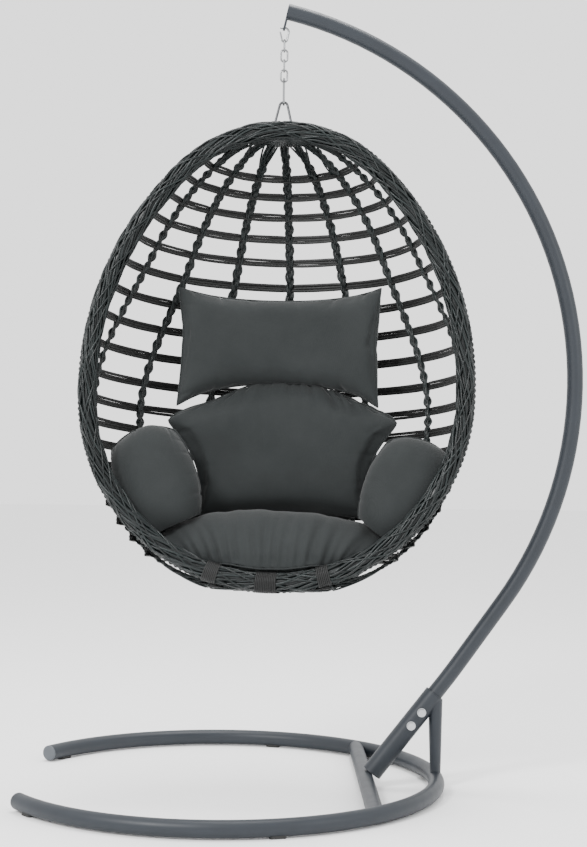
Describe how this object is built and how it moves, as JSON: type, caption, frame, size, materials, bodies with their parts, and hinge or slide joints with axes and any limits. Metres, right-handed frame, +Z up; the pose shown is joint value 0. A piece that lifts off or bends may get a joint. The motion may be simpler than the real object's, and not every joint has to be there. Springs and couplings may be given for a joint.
{
  "type": "hanging egg chair",
  "caption": "Egg-shaped open wicker basket with soft cushions, hung by a short chain and snap hooks from a C-shaped pole on a ring base.",
  "frame": {"origin": "on the floor, under the middle of the whole chair's box", "axes": "+Z up; the basket's open side faces -Y and the pole stands on the +X side, so a sitter's left is +X"},
  "size_m": [1.3715, 1.118, 1.9501],
  "materials": {
    "powder_coat": "satin",
    "end_caps": "matte",
    "pads": "matte",
    "fasteners": "satin",
    "zinc": "polished",
    "basket_steel": "satin",
    "wicker": "satin",
    "cushion": "matte"
  },
  "bodies": {
    "stand": {"base_ring": "powder_coat", "crossbar": "powder_coat", "socket_tube": "powder_coat", "brace_tube": "powder_coat", "pole": "powder_coat", "end_plate": "powder_coat", "leg_cap_front": "end_caps", "leg_cap_back": "end_caps", "floor_pads": "pads", "socket_bolts": "fasteners", "socket_washers": "fasteners", "socket_nuts": "fasteners"},
    "top_hook": {"top_hook": "zinc"},
    "top_gate": {"top_hook_gate": "zinc"},
    "link_1": {"chain_link_1": "zinc"},
    "link_2": {"chain_link_2": "zinc"},
    "link_3": {"chain_link_3": "zinc"},
    "link_4": {"chain_link_4": "zinc"},
    "low_hook": {"low_hook": "zinc"},
    "low_gate": {"low_hook_gate": "zinc"},
    "basket": {"hanger_loop": "basket_steel", "crown_plate": "wicker", "base_plate": "wicker", "rim_hoop": "basket_steel", "rim_wrap": "wicker", "rim_bindings": "wicker", "rib_1": "wicker", "rib_2": "wicker", "rib_3": "wicker", "rib_4": "wicker", "rib_5": "wicker", "rib_6": "wicker", "rib_7": "wicker", "band_01": "wicker", "band_02": "wicker", "band_03": "wicker", "band_04": "wicker", "band_05": "wicker", "band_06": "wicker", "band_07": "wicker", "band_08": "wicker", "band_09": "wicker", "band_10": "wicker", "band_11": "wicker", "band_12": "wicker", "band_13": "wicker", "band_14": "wicker", "band_15": "wicker", "band_16": "wicker", "band_17": "wicker", "band_18": "wicker", "band_19": "wicker", "head_pillow": "cushion", "back_cushion": "cushion", "seat_cushion": "cushion", "arm_cushion_left": "cushion", "arm_cushion_right": "cushion"}
  },
  "joints": [
    {"name": "top_hook_swing", "type": "hinge", "parent": "stand", "child": "top_hook", "pos_m": [-0.07168, 0, 1.89013], "axis": [1, 0, 0], "range_deg": [-4, 4]},
    {"name": "top_gate_open", "type": "hinge", "parent": "top_hook", "child": "top_gate", "pos_m": [-0.07847, 0, 1.86213], "axis": [0, 1, 0], "range_deg": [0, 20], "stiffness_Nm_per_rad": 0.05, "springref_deg": -5.73},
    {"name": "link_1_sway", "type": "hinge", "parent": "top_hook", "child": "link_1", "pos_m": [-0.07168, 0, 1.86038], "axis": [0, 1, 0], "range_deg": [-3, 3]},
    {"name": "link_2_swing", "type": "hinge", "parent": "link_1", "child": "link_2", "pos_m": [-0.07168, 0, 1.83538], "axis": [1, 0, 0], "range_deg": [-4, 4]},
    {"name": "link_3_sway", "type": "hinge", "parent": "link_2", "child": "link_3", "pos_m": [-0.07168, 0, 1.81038], "axis": [0, 1, 0], "range_deg": [-3, 3]},
    {"name": "link_4_swing", "type": "hinge", "parent": "link_3", "child": "link_4", "pos_m": [-0.07168, 0, 1.78538], "axis": [1, 0, 0], "range_deg": [-4, 4]},
    {"name": "low_hook_sway", "type": "hinge", "parent": "link_4", "child": "low_hook", "pos_m": [-0.07168, 0, 1.76088], "axis": [0, 1, 0], "range_deg": [-3, 3]},
    {"name": "low_gate_open", "type": "hinge", "parent": "low_hook", "child": "low_gate", "pos_m": [-0.07168, -0.00864, 1.70816], "axis": [1, 0, 0], "range_deg": [-20, 0], "stiffness_Nm_per_rad": 0.05, "springref_deg": 5.73},
    {"name": "basket_twist", "type": "hinge", "parent": "low_hook", "child": "basket", "pos_m": [-0.07168, 0, 1.70463], "axis": [0, 0, 1], "range_deg": [-12, 12]}
  ]
}
